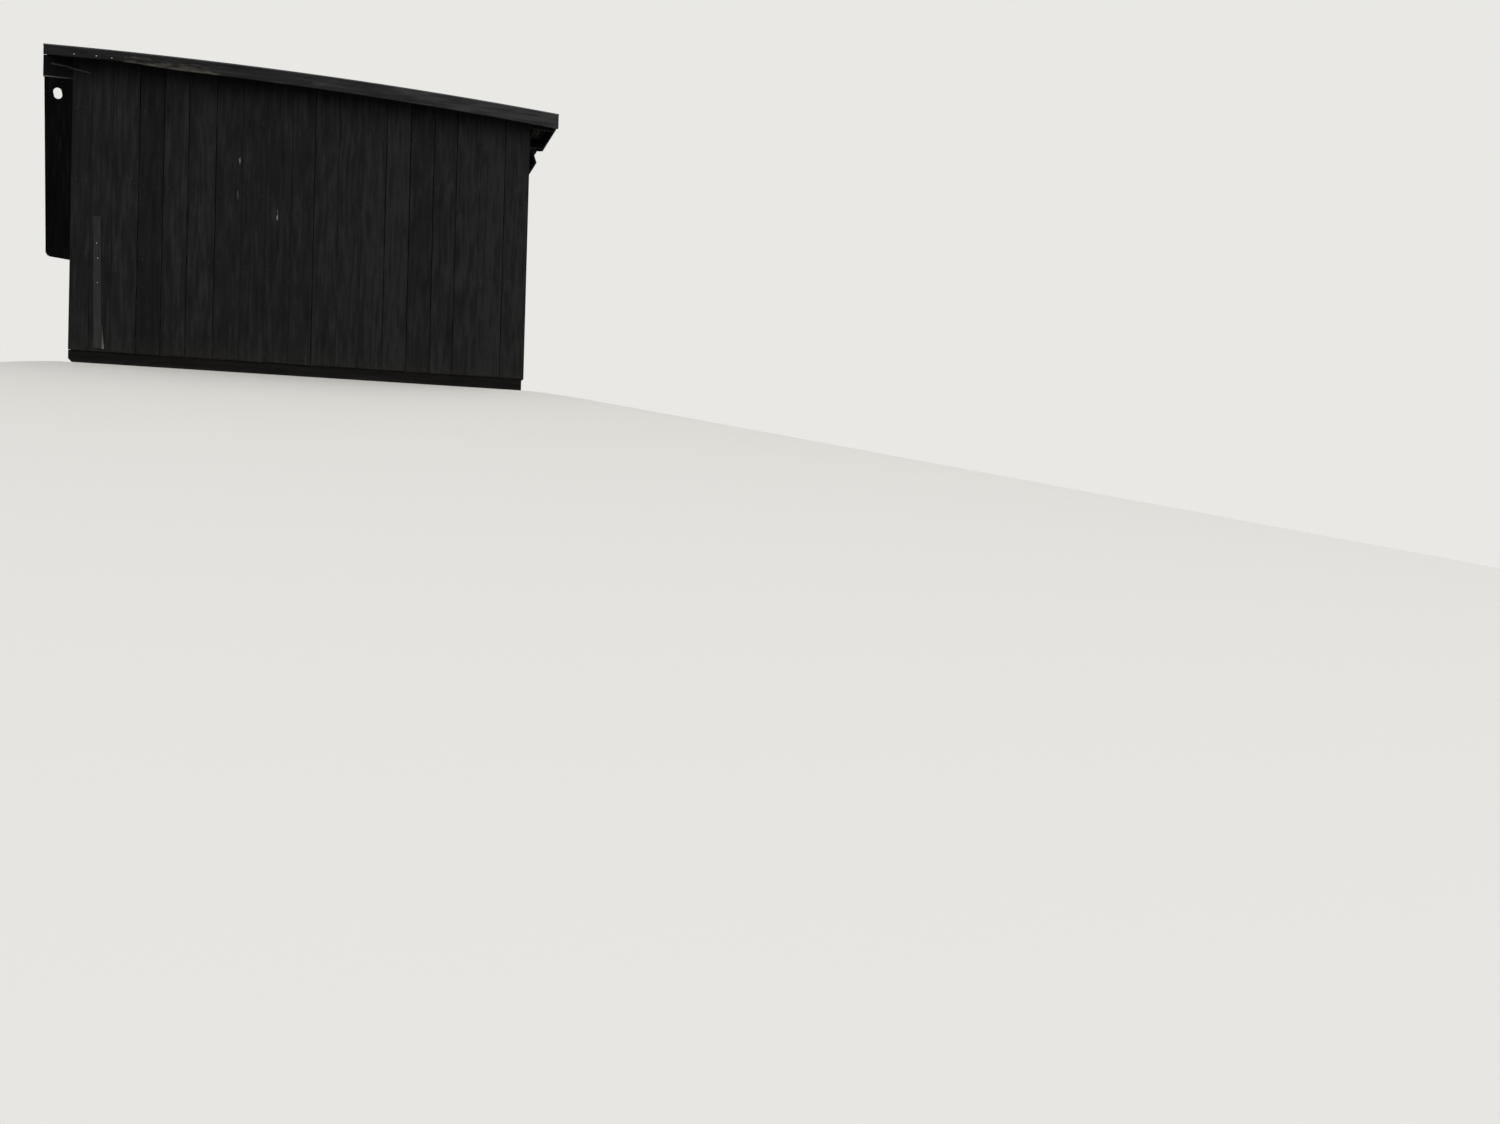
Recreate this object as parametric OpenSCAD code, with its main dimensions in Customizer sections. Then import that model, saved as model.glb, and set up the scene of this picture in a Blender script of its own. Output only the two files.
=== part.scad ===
// Field shelter for livestock: a timber shed with one roof slope, three closed
// sides of vertical boards and an open front of two bays. X runs from the open
// front to the closed rear, Y along the building and Z up. The origin lies on
// the ground under the middle of the building's outline.

/* [Building] */
// Depth of the side walls, from the front edge to the rear edge of the boards
wall_depth = 4877; // [3600:1:5600]
// Length of the building over the boards of both side walls
shed_len = 6096; // [5950:1:6450]
// Height of the roof's underside above the ground at the front wall
front_top = 3320; // [3000:1:3700]
// Fall of the roof from the front wall to the rear wall
roof_fall = 140; // [80:1:500]
// Bow of the roof: its rise above a straight line between the front and rear walls
roof_bow = 55; // [20:1:120]

/* [Overhangs] */
// Roof overhang past the front wall
over_front = 270; // [200:1:400]
// Roof overhang past the rear wall
over_rear = 290; // [220:1:450]
// Roof overhang past each side wall
over_side = 290; // [250:1:400]
// Projection of the roof sheets past the rear fascia and the barge ends
sheet_lip = 5; // [5:1:40]

/* [Boards] */
// Thickness of the wall boards
board_t = 22; // [16:1:32]
// Depth of the barge boards, along both side edges of the roof, at their worn front end
barge_front_d = 98; // [60:1:110]
// Distance from the front wall over which a barge keeps that depth
barge_front_len = 480; // [300:1:1500]
// Length of the taper after it, over which the worn edge runs out
barge_taper_len = 600; // [300:1:1200]
// Depth of the barge boards behind the taper
barge_mid_d = 130; // [110:1:180]
// Depth of the barge boards at the rear end
barge_rear_d = 156; // [115:1:200]
// Thickness of the barge boards
barge_t = 25; // [18:1:40]
// Depth of the rear fascia
fascia_d = 130; // [100:1:180]
// Thickness of the rear fascia
fascia_t = 22; // [16:1:38]

/* [Frame] */
// Width of the square posts
post_w = 140; // [100:1:200]
// Height of the bottom timbers
skid_h = 140; // [100:1:200]
// Thickness of the girts, the flat rails that carry the wall boards
girt_t = 38; // [25:1:50]
// Height of the girts
girt_w = 89; // [70:1:140]
// Distance from the top girt of a side wall up to the foot of its rafter, at the rear
girt_drop = 200; // [100:1:400]
// Height from a wing's foot up to the girt that carries it
wing_girt_rise = 15; // [5:1:60]
// Distance from the end of a wing's girts to the outer edge of its foot
wing_girt_inset = 10; // [5:1:60]
// Width of the front header beam
header_w = 89; // [60:1:140]
// Depth of the front header beam
header_d = 235; // [180:1:300]
// Width of the rear plate beam
plate_w = 140; // [100:1:160]
// Depth of the rear plate beam
plate_d = 140; // [100:1:200]
// Reach of the knee braces along the post and along the header
brace_reach = 600; // [400:1:750]
// Width of the knee braces
brace_w = 89; // [60:1:120]
// Thickness of the knee braces
brace_t = 38; // [30:1:60]

/* [Roof frame] */
// Thickness of the rafters
rafter_t = 38; // [30:1:60]
// Depth of the rafters
rafter_d = 140; // [120:1:220]
// Depth of the notch that seats a rafter on its beam
seat_d = 30; // [15:1:45]
// Number of rafters
rafter_count = 7; // [5:1:9]
// Depth left on the rafter tails under the front overhang
tail_front_d = 60; // [50:1:100]
// Depth left on the rafter tails under the rear overhang
tail_rear_d = 92; // [60:1:110]
// Thickness of the purlins
purlin_t = 38; // [25:1:50]
// Width of the purlins
purlin_w = 89; // [60:1:140]
// Number of purlins
purlin_count = 9; // [7:1:11]
// Distance of the last purlin's middle from the rear edge of the roof
purlin_rear_inset = 150; // [110:1:200]

/* [Roof sheets] */
// Width that one ribbed steel sheet covers
sheet_cover = 914.4; // [800:0.1:1000]
// Number of ribs on a sheet, without the one that laps onto the next sheet
ribs_per_sheet = 4; // [3:1:5]
// Height of a rib
rib_h = 19; // [12:1:30]
// Width of a rib at its foot
rib_foot = 60; // [45:1:80]
// Width of a rib at its top
rib_top = 22; // [15:1:35]
// Flat leg of a sheet before its first rib, which the sheet beside it laps
lap_leg = 15; // [8:1:30]
// Thickness of the sheet steel
sheet_t = 0.7; // [0.5:0.1:1.2]

/* [Wing panels] */
// Width of the upright head of a wing panel
wing_head_w = 296; // [270:1:340]
// Width of a wing panel where it starts to taper, below its head
wing_top_w = 284; // [230:1:296]
// Width of a wing panel at its foot
wing_low_w = 240; // [180:1:255]
// Length of the tapering part of a wing panel, along its outer edge
wing_len = 1916; // [1600:1:2300]
// How much lower the inner corner of a wing's foot hangs than the outer one
wing_skew = 22; // [0:1:60]
// Width and height of the corner that is broken off a wing's foot
wing_chip = 36; // [10:1:60]
// Distance from the roof's underside at the front wall down to the foot of a wing's head
wing_drop = 275; // [200:1:360]
// Thickness of the wing panels
wing_t = 18; // [12:1:22]
// Width of the hole in the near wing panel
hole_w = 84; // [60:1:110]
// Height of the hole in the near wing panel
hole_h = 122; // [112:1:150]
// Distance of the hole's middle from the wall
hole_x = 149; // [100:1:170]
// Distance from the foot of the wing's head down to the hole's middle
hole_drop = 163; // [130:1:180]
// Tilt of the hole's top towards the wing's outer edge, in degrees
hole_tilt = 11; // [0:1:45]

/* [Cover strip and break] */
// Width of the pale cover strip on the near wall
strip_w = 80; // [50:1:100]
// Thickness of the cover strip
strip_t = 14; // [8:1:20]
// Length of the cover strip
strip_len = 1430; // [1000:1:1800]
// Distance of the strip's foot from the front edge of the wall
strip_x = 298; // [200:1:600]
// Height of the strip's foot above the ground
strip_z = 170; // [150:1:300]
// Lean of the strip away from upright, in degrees
strip_lean = 1.2; // [0:0.1:4]
// Distance from the near wall to the break in the rear fascia, at its lower edge
break_y = 1170; // [400:1:1500]
// Length of the break at the fascia's lower edge
break_low = 600; // [200:1:800]
// Length of the break at the fascia's upper edge
break_high = 220; // [60:1:300]
// How far the break slants along the fascia from its lower to its upper edge
break_slant = 660; // [200:1:850]
// How much deeper the fascia is beyond the break than before it
far_extra_d = 25; // [5:1:40]

/* [Hidden] */
$fn = 48;
// Facets of a full turn on the roof's wide arc
sheet_fn = 1080;

// Plan: the outline is centred on the origin. It is the roof's, and the wings reach out
// past the roof's front edge.
roof_depth = wall_depth + over_front + over_rear;
roof_len = shed_len + 2 * over_side;
wing_proud = max(0, wing_head_w - over_front);
x_roof_front = (wing_proud - roof_depth) / 2;
x_roof_rear = (wing_proud + roof_depth) / 2;
x_front = x_roof_front + over_front;
x_rear = x_roof_rear - over_rear;
y_wall = shed_len / 2;
y_roof = roof_len / 2;

// Overrun of a cutting shape past the face that it cuts
cut_over = 1;

// Faces that the pieces share
x_post_front = x_front + board_t;
x_girt_rear = x_rear - board_t;
x_post_rear = x_girt_rear - girt_t;
y_girt = y_wall - board_t;
y_post = y_girt - girt_t;
skid_w = girt_t + post_w;
y_bay = y_girt - skid_w;

// The roof's underside is an arc through the tops of the front and rear walls,
// and each layer under it is the same arc with a smaller radius
x_mid = (x_front + x_rear) / 2;
tilt = atan(roof_fall / wall_depth);
chord = sqrt(pow(wall_depth, 2) + pow(roof_fall, 2));
bow_r = pow(chord, 2) / (8 * roof_bow) + roof_bow / 2;
bow_x = x_mid - (bow_r - roof_bow) * sin(tilt);
bow_z = front_top - roof_fall / 2 - (bow_r - roof_bow) * cos(tilt);
function layer_z(x, depth) = bow_z + sqrt(pow(bow_r - depth, 2) - pow(x - bow_x, 2));

// Depths of the layers under the roof's underside
rafter_top = purlin_t;
rafter_foot = purlin_t + rafter_d;

// Purlins, rafters and ribs
x_tail_front = x_roof_front + sheet_lip;
x_tail_rear = x_roof_rear - sheet_lip - fascia_t;
y_rafter_end = y_girt - rafter_t / 2;
rafter_step = 2 * y_rafter_end / (rafter_count - 1);
x_purlin_first = x_tail_front + purlin_w / 2;
x_purlin_last = x_roof_rear - purlin_rear_inset;
purlin_step = (x_purlin_last - x_purlin_first) / (purlin_count - 1);
rib_step = sheet_cover / ribs_per_sheet;

// Corners that every outline along the arc shares: both edges of each purlin, and
// the middle of each bay between two purlins
stations = [
    for (i = [0 : purlin_count - 1])
        let (x = x_purlin_first + i * purlin_step)
            each [x - purlin_w / 2, x + purlin_w / 2, x + purlin_step / 2]
];
function arc_line(x0, x1, depth) = concat(
    [[x0, layer_z(x0, depth)]],
    [for (x = stations) if (x > x0 && x < x1) [x, layer_z(x, depth)]],
    [[x1, layer_z(x1, depth)]]
);
function reversed(list) = [for (i = [len(list) - 1 : -1 : 0]) list[i]];

// Beams under the rafters
x_header = x_post_front + header_w;
x_plate = x_girt_rear - plate_w;
header_top = layer_z(x_post_front, rafter_foot) + seat_d;
header_foot = header_top - header_d;
plate_top = layer_z(x_girt_rear, rafter_foot) + seat_d;
plate_foot = plate_top - plate_d;

// Depth of a barge at each place along it
barge_depths = [
    [x_roof_front, barge_front_d],
    [x_front + barge_front_len, barge_front_d],
    [x_front + barge_front_len + barge_taper_len, barge_mid_d],
    [x_roof_rear, barge_rear_d]
];

// Wing panels, and the girts behind the boards: the lowest lies on the bottom timber,
// and the others run on forward to carry the wing
wing_top_z = front_top - wing_drop;
wing_foot_z = wing_top_z - wing_len;
girt_top_level = layer_z(x_girt_rear, rafter_foot) - girt_drop - girt_w;
girt_foot_level = wing_foot_z + wing_girt_rise;
girt_levels = [skid_h, girt_foot_level, (girt_foot_level + girt_top_level) / 2, girt_top_level];

// Colours
black_board = "#232323";
black_steel = "#1b1c1d";
raw_timber = "#8a7a66";
dark_timber = "#3a342d";
pale_strip = "#77736c";

// A flat outline in the X-Z plane, made thickness thick towards +Y from y
module slab_xz(y, thickness, points, tone) {
    color(tone)
        translate([0, y + thickness, 0])
            rotate([90, 0, 0])
                linear_extrude(height = thickness)
                    polygon(points);
}

module block(low, high, tone) {
    color(tone)
        translate(low)
            cube(high - low);
}

// side is -1 at the near wall and 1 at the far wall; the slab lies between the
// distances inner and outer from the middle of the building
function low_y(side, inner, outer) = side < 0 ? -outer : inner;

// Bottom timber of a side wall, with its front end cut back underneath
module side_skid(side) {
    nose = skid_h / 3;
    slab_xz(low_y(side, y_bay, y_girt), skid_w, [
        [x_front + nose, 0], [x_girt_rear, 0], [x_girt_rear, skid_h],
        [x_front, skid_h], [x_front, nose]
    ], dark_timber);
}

module rear_skid() {
    block([x_girt_rear - skid_w, -y_bay, 0], [x_girt_rear, y_bay, skid_h], dark_timber);
}

module post(x, y, foot, top) {
    block([x, y, foot], [x + post_w, y + post_w, top], raw_timber);
}

module front_post(y, foot) {
    post(x_post_front, y, foot, header_foot);
}

module rear_post(y) {
    post(x_post_rear - post_w, y, skid_h, plate_foot);
}

// Post in the middle of a side wall, cut to the roof's slope against its rafter
module side_post(side) {
    x0 = x_mid - post_w / 2;
    x1 = x_mid + post_w / 2;
    slab_xz(low_y(side, y_bay, y_post), post_w, [
        [x0, skid_h], [x1, skid_h], [x1, layer_z(x1, rafter_top)], [x0, layer_z(x0, rafter_top)]
    ], raw_timber);
}

// Girts of a side wall; those above the lowest run on forward to carry the wing
module side_girts(side) {
    y0 = low_y(side, y_post, y_girt);
    for (level = girt_levels) {
        x0 = level > skid_h ? x_front - wing_low_w + wing_girt_inset : x_post_front;
        block([x0, y0, level], [x_girt_rear, y0 + girt_t, level + girt_w], raw_timber);
    }
}

module rear_girts() {
    for (level = [girt_levels[0], girt_levels[1], girt_levels[2]])
        block([x_post_rear, -y_post, level], [x_girt_rear, y_post, level + girt_w], raw_timber);
}

module header() {
    block([x_post_front, -y_girt, header_foot], [x_header, y_girt, header_top], raw_timber);
}

module plate() {
    block([x_plate, -y_girt, plate_foot], [x_girt_rear, y_girt, plate_top], raw_timber);
}

// Knee brace from a post's side face at y up to the header; towards is 1 or -1
module knee_brace(y, towards) {
    cut = brace_w * sqrt(2);
    color(raw_timber)
        translate([x_post_front, y, header_foot])
            rotate([90, 0, 90])
                linear_extrude(height = brace_t)
                    polygon([
                        [0, -brace_reach], [0, cut - brace_reach],
                        [towards * (brace_reach - cut), 0], [towards * brace_reach, 0]
                    ]);
}

module front_braces() {
    knee_brace(-y_bay, 1);
    knee_brace(-post_w / 2, -1);
    knee_brace(post_w / 2, 1);
    knee_brace(y_bay, -1);
}

// Rafter with a notch over each beam and tails ripped to a lesser depth.
// front_tail is the depth that is left of its front tail.
module rafter(y, front_tail) {
    slab_xz(y - rafter_t / 2, rafter_t, concat(
        arc_line(x_tail_front, x_tail_rear, rafter_top),
        reversed(arc_line(x_rear, x_tail_rear, rafter_top + tail_rear_d)),
        [
            [x_rear, layer_z(x_rear, rafter_foot)], [x_girt_rear, layer_z(x_girt_rear, rafter_foot)],
            [x_girt_rear, plate_top], [x_plate, plate_top]
        ],
        reversed(arc_line(x_header, x_plate, rafter_foot)),
        [
            [x_header, header_top], [x_post_front, header_top],
            [x_post_front, layer_z(x_post_front, rafter_foot)], [x_front, layer_z(x_front, rafter_foot)]
        ],
        reversed(arc_line(x_tail_front, x_front, rafter_top + front_tail))
    ), raw_timber);
}

module inner_rafters() {
    for (i = [1 : rafter_count - 2])
        rafter(-y_rafter_end + i * rafter_step, tail_front_d);
}

// Purlins, planed top and bottom to the arc where they seat
module purlin_row() {
    for (i = [0 : purlin_count - 1]) {
        x0 = x_purlin_first + i * purlin_step - purlin_w / 2;
        x1 = x0 + purlin_w;
        slab_xz(barge_t - y_roof, roof_len - 2 * barge_t, [
            [x0, layer_z(x0, 0)], [x1, layer_z(x1, 0)],
            [x1, layer_z(x1, purlin_t)], [x0, layer_z(x0, purlin_t)]
        ], raw_timber);
    }
}

// Barge board, its lower edge worn back towards the front
module barge(side) {
    top = arc_line(x_tail_front, x_roof_rear - sheet_lip, 0);
    foot = [for (p = top) [p[0], layer_z(p[0], lookup(p[0], barge_depths))]];
    slab_xz(low_y(side, y_roof - barge_t, y_roof), barge_t, concat(top, reversed(foot)), black_board);
}

// Rear fascia, its top planed to the roof's slope, with a slanting stretch broken out
module fascia() {
    y0 = barge_t - y_roof;
    x1 = x_tail_rear + fascia_t;
    top0 = layer_z(x_tail_rear, 0);
    top1 = layer_z(x1, 0);
    foot = top0 - fascia_d;
    y_break = break_y - y_wall;
    y_far = y_break + break_low;
    difference() {
        for (run = [[y0, y_far, foot], [y_far, -y0, foot - far_extra_d]])
            slab_xz(run[0], run[1] - run[0],
                [[x_tail_rear, run[2]], [x1, run[2]], [x1, top1], [x_tail_rear, top0]], black_board);
        translate([x_tail_rear - cut_over, y_break, foot])
            rotate([90, 0, 90])
                linear_extrude(height = fascia_t + 2 * cut_over)
                    polygon([
                        [0, -cut_over], [0, -far_extra_d - cut_over], [break_low, -far_extra_d - cut_over],
                        [break_slant + break_high, fascia_d + cut_over], [break_slant, fascia_d + cut_over]
                    ]);
    }
}

// Boards of a side wall, from the top of the bottom timber to the purlins
module side_siding(side) {
    slab_xz(low_y(side, y_girt, y_wall), board_t, concat(
        arc_line(x_front, x_rear, rafter_top),
        [[x_rear, skid_h], [x_front, skid_h]]
    ), black_board);
}

module rear_siding() {
    block([x_girt_rear, -y_girt, skid_h], [x_rear, y_girt, layer_z(x_rear, rafter_foot)], black_board);
}

// Short boards that cover the header above the open bays
module front_siding() {
    block([x_front, -y_girt, header_foot - board_t], [x_post_front, y_girt, layer_z(x_front, rafter_foot)],
        black_board);
}

// Panel that widens a side wall under the front overhang: an upright head under the
// purlins, and below it a slightly narrower panel that tapers to its foot
module wing(side, with_hole) {
    y0 = low_y(side, y_girt, y_girt + wing_t);
    x_head = x_front - wing_head_w;
    x_low = x_front - wing_low_w;
    difference() {
        slab_xz(y0, wing_t, concat(
            [[x_head, wing_top_z], [x_front - wing_top_w, wing_top_z]],
            [[x_low, wing_foot_z + wing_chip], [x_low + wing_chip, wing_foot_z]],
            [[x_front, wing_foot_z - wing_skew]],
            reversed(arc_line(x_head, x_front, rafter_top))
        ), black_board);
        if (with_hole)
            translate([x_front - hole_x, y0 + wing_t + cut_over, wing_top_z - hole_drop])
                rotate([90, -hole_tilt, 0])
                    linear_extrude(height = wing_t + 2 * cut_over)
                        round_slot(hole_w, hole_h);
    }
}

// Upright slot with round ends, centred on the origin
module round_slot(width, height) {
    end = (height - width) / 2;
    translate([0, end])
        circle(d = width);
    translate([0, -end])
        circle(d = width);
    square([width, 2 * end], center = true);
}

module strip() {
    color(pale_strip)
        translate([x_front + strip_x, -y_wall - strip_t, strip_z])
            rotate([0, -strip_lean, 0])
                translate([-strip_w / 2, 0, 0])
                    cube([strip_w, strip_t, strip_len]);
}

// Upright and level run of one rib whose middle is at c, raised by lift
function rib_points(c, lift) = [
    [lift, c - rib_foot / 2], [lift + rib_h, c - rib_top / 2],
    [lift + rib_h, c + rib_top / 2], [lift, c + rib_foot / 2]
];

// Underside of a sheet, as [height above the purlins, distance along the building].
// Its last rib is raised by the steel's thickness and laps the next sheet's first rib.
function sheet_line(first) =
    let (
        start = first - rib_foot / 2 - lap_leg,
        lap = first + sheet_cover,
        lap_start = lap - rib_foot / 2 - lap_leg,
        fits = lap + rib_foot / 2 <= y_roof
    )
    concat(
        [[0, start]],
        [
            for (k = [0 : ribs_per_sheet - 1])
                let (c = first + k * rib_step)
                    if (c + rib_foot / 2 < y_roof) each rib_points(c, 0)
        ],
        fits ? concat([[0, lap_start - sheet_t], [sheet_t, lap_start]], rib_points(lap, sheet_t))
            : [[0, y_roof]]
    );

// One ribbed sheet, bent along the arc; index counts from the near edge, and the
// last sheet is cut to fit
module sheet(index) {
    first = -y_roof + lap_leg + rib_foot / 2 + (index - 1) * sheet_cover;
    line = sheet_line(first);
    a0 = asin((x_roof_front - bow_x) / bow_r);
    a1 = asin((x_roof_rear - bow_x) / bow_r);
    color(black_steel)
        translate([bow_x, 0, bow_z])
            rotate([-90, 0, 0])
                rotate([0, 0, a0 - 90])
                    rotate_extrude(angle = a1 - a0, $fn = sheet_fn)
                        translate([bow_r, 0])
                            polygon(concat(line, [for (p = reversed(line)) [p[0] + sheet_t, p[1]]]));
}

module skid_near() { side_skid(-1); }
module skid_far() { side_skid(1); }
module skid_rear() { rear_skid(); }
module post_front_near() { front_post(-y_post, skid_h); }
module post_front_mid() { front_post(-post_w / 2, 0); }
module post_front_far() { front_post(y_post - post_w, skid_h); }
module post_rear_near() { rear_post(-y_post); }
module post_rear_mid() { rear_post(-post_w / 2); }
module post_rear_far() { rear_post(y_post - post_w); }
module post_side_near() { side_post(-1); }
module post_side_far() { side_post(1); }
module girts_near() { side_girts(-1); }
module girts_far() { side_girts(1); }
module girts_rear() { rear_girts(); }
module header_front() { header(); }
module plate_rear() { plate(); }
module braces_front() { front_braces(); }
module rafter_near() { rafter(-y_rafter_end, rafter_d); }
module rafter_far() { rafter(y_rafter_end, rafter_d); }
module rafters_inner() { inner_rafters(); }
module purlins() { purlin_row(); }
module barge_near() { barge(-1); }
module barge_far() { barge(1); }
module fascia_rear() { fascia(); }
module siding_near() { side_siding(-1); }
module siding_far() { side_siding(1); }
module siding_rear() { rear_siding(); }
module siding_front() { front_siding(); }
module wing_near() { wing(-1, true); }
module wing_far() { wing(1, false); }
module cover_strip() { strip(); }
module roof_sheet_1() { sheet(1); }
module roof_sheet_2() { sheet(2); }
module roof_sheet_3() { sheet(3); }
module roof_sheet_4() { sheet(4); }
module roof_sheet_5() { sheet(5); }
module roof_sheet_6() { sheet(6); }
module roof_sheet_7() { sheet(7); }
module roof_sheet_8() { sheet(8); }

skid_near();
skid_far();
skid_rear();
post_front_near();
post_front_mid();
post_front_far();
post_rear_near();
post_rear_mid();
post_rear_far();
post_side_near();
post_side_far();
girts_near();
girts_far();
girts_rear();
header_front();
plate_rear();
braces_front();
rafter_near();
rafter_far();
rafters_inner();
purlins();
barge_near();
barge_far();
fascia_rear();
siding_near();
siding_far();
siding_rear();
siding_front();
wing_near();
wing_far();
cover_strip();
roof_sheet_1();
roof_sheet_2();
roof_sheet_3();
roof_sheet_4();
roof_sheet_5();
roof_sheet_6();
roof_sheet_7();
roof_sheet_8();
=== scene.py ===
"""Looks of a timber field shelter: black boarded walls round an open timber frame, under a
low roof of ribbed steel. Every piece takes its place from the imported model."""
import math
import random

import bmesh
import bpy
from mathutils import Matrix, Vector, noise


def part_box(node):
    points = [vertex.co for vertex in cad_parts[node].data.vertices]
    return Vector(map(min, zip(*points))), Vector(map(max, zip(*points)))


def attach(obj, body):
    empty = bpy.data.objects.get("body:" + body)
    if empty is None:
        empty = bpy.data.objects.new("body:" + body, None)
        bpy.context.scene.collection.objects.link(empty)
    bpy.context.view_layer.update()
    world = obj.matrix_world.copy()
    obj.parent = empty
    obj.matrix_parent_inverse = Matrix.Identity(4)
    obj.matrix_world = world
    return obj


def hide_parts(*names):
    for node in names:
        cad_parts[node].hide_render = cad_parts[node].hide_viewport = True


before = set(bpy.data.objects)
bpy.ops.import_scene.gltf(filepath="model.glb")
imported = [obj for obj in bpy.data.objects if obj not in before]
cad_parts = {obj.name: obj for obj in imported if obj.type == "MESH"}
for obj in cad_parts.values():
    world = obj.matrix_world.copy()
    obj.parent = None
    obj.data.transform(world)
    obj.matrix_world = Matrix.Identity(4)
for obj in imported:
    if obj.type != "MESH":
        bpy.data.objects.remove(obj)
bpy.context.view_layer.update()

X, Y, Z = 0, 1, 2
MM = 0.001

# Places that the finishes and fixings follow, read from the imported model
WALL_LOW, WALL_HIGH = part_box("siding_near")
FRONT, REAR, SIDE = WALL_LOW.x, WALL_HIGH.x, -WALL_LOW.y
BOARD_FOOT = WALL_LOW.z

# Widths of the near wall's boards, from the open front to the rear, in millimetres
NEAR_WIDTHS = (200, 215, 265, 250, 255, 285, 275, 255, 265, 245,
               260, 250, 260, 265, 260, 255, 265, 275, 275)
# Joints of the near wall that have opened as the boards dried, counted from the front
OPEN_JOINTS = (3, 4, 5, 6, 10, 13, 14, 15, 16, 18)
# Boards of the near wall that stand proud, that have faded and that have kept their black,
# counted from 0 at the open front
PROUD_BOARD = 10
FADED_BOARDS = (12, 13, 16, 17, 18)
BLACK_BOARDS = (3,)
# Usual width of a board on the other walls, and how far single boards differ from it
BOARD_WIDTH = 255 * MM
BOARD_SPREAD = 18 * MM
# Share of the joints that have opened on the other walls
OPEN_SHARE = 0.5
# Width of a tight and of an open joint at the boards' outer face, and of both at their inner
# face, and the share by which a joint is wider or narrower at some heights
TIGHT_GAP = 1.5 * MM
OPEN_GAP = 9 * MM
BACK_GAP = 0.3 * MM
GAP_CHANGE = 0.6
# How far a proud board stands out of the wall's plane, and how far the others lie off it
PROUD = 2.5 * MM
UNEVEN_FACE = 0.8 * MM
# Tones of single boards: how far they differ on the near wall and on the others, and how much
# paler a faded board is and how much darker one that has kept its black
NEAR_SPREAD = 0.4
USUAL_SPREAD = 1.5
FADED_TONE = 1.1
BLACK_TONE = 1.5
# How far one step of tone moves the colour along the ramp of the paint and of bare wood
PAINT_STEP = 0.11
WOOD_STEP = 0.07

# Rough sawing and drying: edge wander, cup, uneven feet and worn arrises
WANDER = 2.0 * MM
CUP = 1.3 * MM
UNEVEN_FOOT = 6 * MM
SLANT_FOOT = 2.4 * MM
BOARD_ARRIS = 3 * MM
TIMBER_ARRIS = 4 * MM
# Spacing of the rings of corners along a wall board, a barge and a lath
BOARD_RINGS = 0.28
BARGE_RINGS = 0.05
LATH_RINGS = 0.04

# Ribs and fixings of the roof sheets
SHEETS = 8
FIRST_RIB = 45 * MM
RIB_STEP = 228.6 * MM
SCREW_FROM_RIB = 46 * MM
SHEET_THICK = 0.7 * MM
# Height of the swells of thin steel, and the turn above which an edge of a rib stays crisp
SWELL = 1.2 * MM
CRISP = math.radians(15)

# Distance under which two corners are one, the turn under which two faces are one, and the
# turn above which an edge is eased
MERGE = 0.01 * MM
FLAT = math.radians(0.04)
SHARP = math.radians(30)


def linear(code):
    """The linear colour that a shader takes for an sRGB hex code such as "8a7a66"."""
    parts = [int(code[i:i + 2], 16) / 255 for i in (0, 2, 4)]
    return (*[p / 12.92 if p <= 0.04045 else ((p + 0.055) / 1.055) ** 2.4 for p in parts], 1.0)


def add(tree, kind, inputs=(), out=0, stops=(), **settings):
    """Adds a shader node and returns one of its outputs. inputs holds values, hex colours or
    outputs of other nodes, in order or by name, and stops the places and colours of a ramp."""
    node = tree.nodes.new("ShaderNode" + kind)
    for key, value in settings.items():
        setattr(node, key, value)
    for key, value in inputs.items() if isinstance(inputs, dict) else enumerate(inputs):
        if isinstance(value, bpy.types.NodeSocket):
            tree.links.new(value, node.inputs[key])
        else:
            node.inputs[key].default_value = linear(value) if isinstance(value, str) else value
    for index, (place, code) in enumerate(stops):
        ramp = node.color_ramp.elements
        stop = ramp[index] if index < 2 else ramp.new(place)
        stop.position = place
        stop.color = linear(code)
    return node.outputs[out] if node.outputs else None


def new_material(name):
    """A material with its Principled shader."""
    material = bpy.data.materials.new(name)
    material.use_nodes = True
    tree = material.node_tree
    tree.nodes.clear()
    surface = add(tree, "BsdfPrincipled")
    add(tree, "OutputMaterial", {"Surface": surface})
    return material, tree, surface.node


def grain_space(tree, axis, across, along, turn=0.0):
    """Object coordinates with one unit for each width across the grain and each length along
    it. turn leans the grain about X, and each board has its own part of the pattern."""
    place = add(tree, "TexCoord", out="Object")
    seed = add(tree, "Attribute", out="Fac", attribute_name="seed")
    moved = add(tree, "VectorMath", (place, seed), operation="ADD")
    turned = add(tree, "Mapping", {"Vector": moved, "Rotation": (turn, 0, 0)})
    scale = [1 / across] * 3
    scale[axis] = 1 / along
    return add(tree, "Mapping", {"Vector": turned, "Scale": scale})


def rough_sawn(tree, shader, axis, turn=0.0, depth=1.2 * MM):
    """Relief of rough-sawn wood: raised fibres along the grain and the saw's marks across it."""
    # The fibres of real wood are 1 to 2 mm wide, drawn 7 mm wide so that they show
    fibres = add(tree, "TexNoise", {"Vector": grain_space(tree, axis, 7 * MM, 260 * MM, turn),
                                    "Scale": 1.0, "Detail": 4.0, "Roughness": 0.6})
    # A circular mill saw leaves a mark about every 12 mm
    marks = add(tree, "TexNoise", {"Vector": grain_space(tree, axis, 300 * MM, 12 * MM, turn),
                                   "Scale": 1.0, "Detail": 1.0})
    height = add(tree, "Math", (marks, 0.45, fibres), operation="MULTIPLY_ADD")
    bumps = add(tree, "Bump", {"Height": height, "Distance": depth})
    tree.links.new(bumps, shader.inputs["Normal"])


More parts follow.
